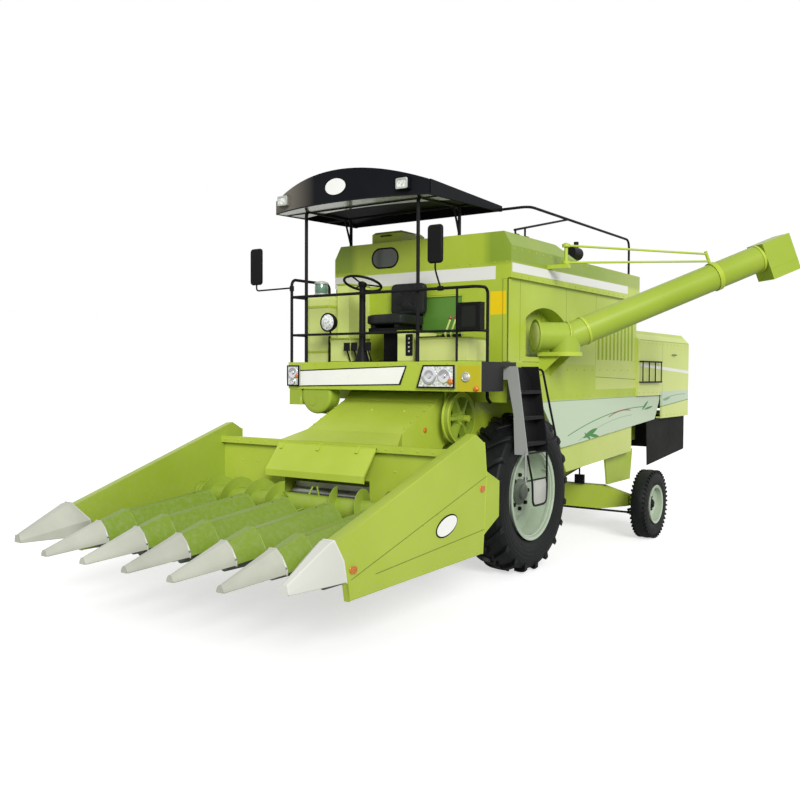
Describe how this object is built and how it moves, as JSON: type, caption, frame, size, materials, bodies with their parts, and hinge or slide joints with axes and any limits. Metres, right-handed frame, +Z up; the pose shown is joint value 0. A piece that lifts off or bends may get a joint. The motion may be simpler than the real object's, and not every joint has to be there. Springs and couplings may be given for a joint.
{
  "type": "combine harvester",
  "caption": "Self-propelled combine harvester with a maize header, open driver's platform under a canopy, side unloading auger and steered rear wheels.",
  "frame": {"origin": "on the ground under the middle of the whole box", "axes": "+X towards the machine's left, +Y towards its rear, +Z up"},
  "size_m": [4.7371, 9.09, 3.8558],
  "materials": {
    "body_green": "gloss paint",
    "frame_grey": "satin paint",
    "rim_paint": "gloss paint",
    "tyre": "moulded rubber",
    "rubber": "sheet rubber",
    "black_paint": "satin paint",
    "canopy_paint": "satin paint",
    "lamp": "clear lens",
    "mirror": "black housing",
    "seat": "padded cover",
    "engine": "painted casting",
    "exhaust": "heat-proof paint",
    "rod_chrome": "polished",
    "worn_steel": "worn",
    "cap_paint": "gloss paint"
  },
  "bodies": {
    "machine": {"threshing_body": "body_green", "chassis": "frame_grey", "front_axle": "body_green", "side_shields": "body_green", "grain_tank": "body_green", "engine_bay": "body_green", "engine": "engine", "rear_hood": "body_green", "rubber_curtain": "rubber", "platform": "body_green", "headlights": "lamp", "canopy": "canopy_paint", "canopy_frame": "black_paint", "platform_rails": "black_paint", "mirrors": "mirror", "seat": "seat", "steering_column": "black_paint", "consoles": "frame_grey", "oil_tank": "body_green", "ladder": "frame_grey", "tank_rails": "black_paint", "exhaust": "exhaust", "auger_bracket": "body_green", "axle_stand": "body_green", "rear_axle": "body_green"},
    "front_wheel_left": {"front_tyre_left": "tyre", "front_rim_left": "rim_paint"},
    "front_wheel_right": {"front_tyre_right": "tyre", "front_rim_right": "rim_paint"},
    "rear_wheel_left": {"rear_tyre_left": "tyre", "rear_rim_left": "rim_paint"},
    "rear_wheel_right": {"rear_tyre_right": "tyre", "rear_rim_right": "rim_paint"},
    "steering_left": {"knuckle_left": "black_paint"},
    "steering_right": {"knuckle_right": "black_paint"},
    "steering_link": {"tie_rod": "black_paint"},
    "header": {"feeder_house": "body_green", "header_trough": "body_green", "end_dividers": "body_green", "inner_dividers": "body_green", "snout_caps": "cap_paint", "row_units": "frame_grey"},
    "header_auger": {"cross_auger": "worn_steel"},
    "header_beater": {"throat_beater": "worn_steel"},
    "header_guard": {"throat_guard": "body_green"},
    "drive_pulley": {"feeder_pulley": "worn_steel"},
    "cylinder_barrels": {"lift_barrels": "black_paint"},
    "cylinder_rods": {"lift_rods": "rod_chrome"},
    "auger": {"unloading_auger": "body_green", "auger_stays": "black_paint"},
    "hatch": {"tank_hatch": "body_green"}
  },
  "joints": [
    {"name": "front_left_wheel_spin", "type": "hinge", "parent": "machine", "child": "front_wheel_left", "pos_m": [0.27937, -0.485, 0.776], "axis": [1, 0, 0], "continuous": true},
    {"name": "front_right_wheel_spin", "type": "hinge", "parent": "machine", "child": "front_wheel_right", "pos_m": [-1.64063, -0.485, 0.776], "axis": [1, 0, 0], "continuous": true},
    {"name": "steer_left", "type": "hinge", "parent": "machine", "child": "steering_left", "pos_m": [0.55137, 2.015, 0.42], "axis": [0, 0, 1], "range_deg": [-35, 35]},
    {"name": "steer_right", "type": "hinge", "parent": "machine", "child": "steering_right", "pos_m": [-1.91263, 2.015, 0.42], "axis": [0, 0, 1], "range_deg": [-35, 35]},
    {"name": "tie_rod_pivot", "type": "hinge", "parent": "steering_left", "child": "steering_link", "pos_m": [0.55137, 1.815, 0.308], "axis": [0, 0, 1], "range_deg": [-35, 35]},
    {"name": "rear_left_wheel_spin", "type": "hinge", "parent": "steering_left", "child": "rear_wheel_left", "pos_m": [0.71937, 2.015, 0.403], "axis": [1, 0, 0], "continuous": true},
    {"name": "rear_right_wheel_spin", "type": "hinge", "parent": "steering_right", "child": "rear_wheel_right", "pos_m": [-2.08063, 2.015, 0.403], "axis": [1, 0, 0], "continuous": true},
    {"name": "header_lift", "type": "hinge", "parent": "machine", "child": "header", "pos_m": [-0.68063, -1.135, 1.515], "axis": [-1, 0, 0], "range_deg": [-8.5, 16]},
    {"name": "lift_barrel_pivot", "type": "hinge", "parent": "machine", "child": "cylinder_barrels", "pos_m": [-0.68063, -0.655, 0.6], "axis": [1, 0, 0], "range_deg": [-9.2, 5.3]},
    {"name": "lift_rod_slide", "type": "slide", "parent": "cylinder_barrels", "child": "cylinder_rods", "axis": [0, -0.9914, 0.1311], "range_m": [-0.131, 0.238]},
    {"name": "cross_auger_spin", "type": "hinge", "parent": "header", "child": "header_auger", "pos_m": [-0.68063, -2.475, 0.79], "axis": [1, 0, 0], "continuous": true},
    {"name": "throat_beater_spin", "type": "hinge", "parent": "header", "child": "header_beater", "pos_m": [-0.74063, -2.065, 0.83], "axis": [1, 0, 0], "continuous": true},
    {"name": "throat_guard_hinge", "type": "hinge", "parent": "header", "child": "header_guard", "pos_m": [-0.74563, -2.25, 1.29], "axis": [-1, 0, 0], "range_deg": [0, 60]},
    {"name": "feeder_pulley_spin", "type": "hinge", "parent": "machine", "child": "drive_pulley", "pos_m": [-0.00063, -1.135, 1.515], "axis": [1, 0, 0], "continuous": true},
    {"name": "auger_swing", "type": "hinge", "parent": "machine", "child": "auger", "pos_m": [0.56937, -0.035, 2.31], "axis": [0, 0, 1], "range_deg": [-46.4, 43.6]},
    {"name": "tank_hatch_hinge", "type": "hinge", "parent": "machine", "child": "hatch", "pos_m": [-1.12063, -0.335, 3.285], "axis": [-1, 0, 0], "range_deg": [0, 40]}
  ],
  "couplings": [
    {"joint": "steer_right", "follows": "steer_left", "ratio": 1},
    {"joint": "tie_rod_pivot", "follows": "steer_left", "ratio": -1},
    {"joint": "lift_barrel_pivot", "follows": "header_lift", "ratio": -0.51072},
    {"joint": "lift_rod_slide", "follows": "header_lift", "m_per_rad": 0.81711}
  ]
}
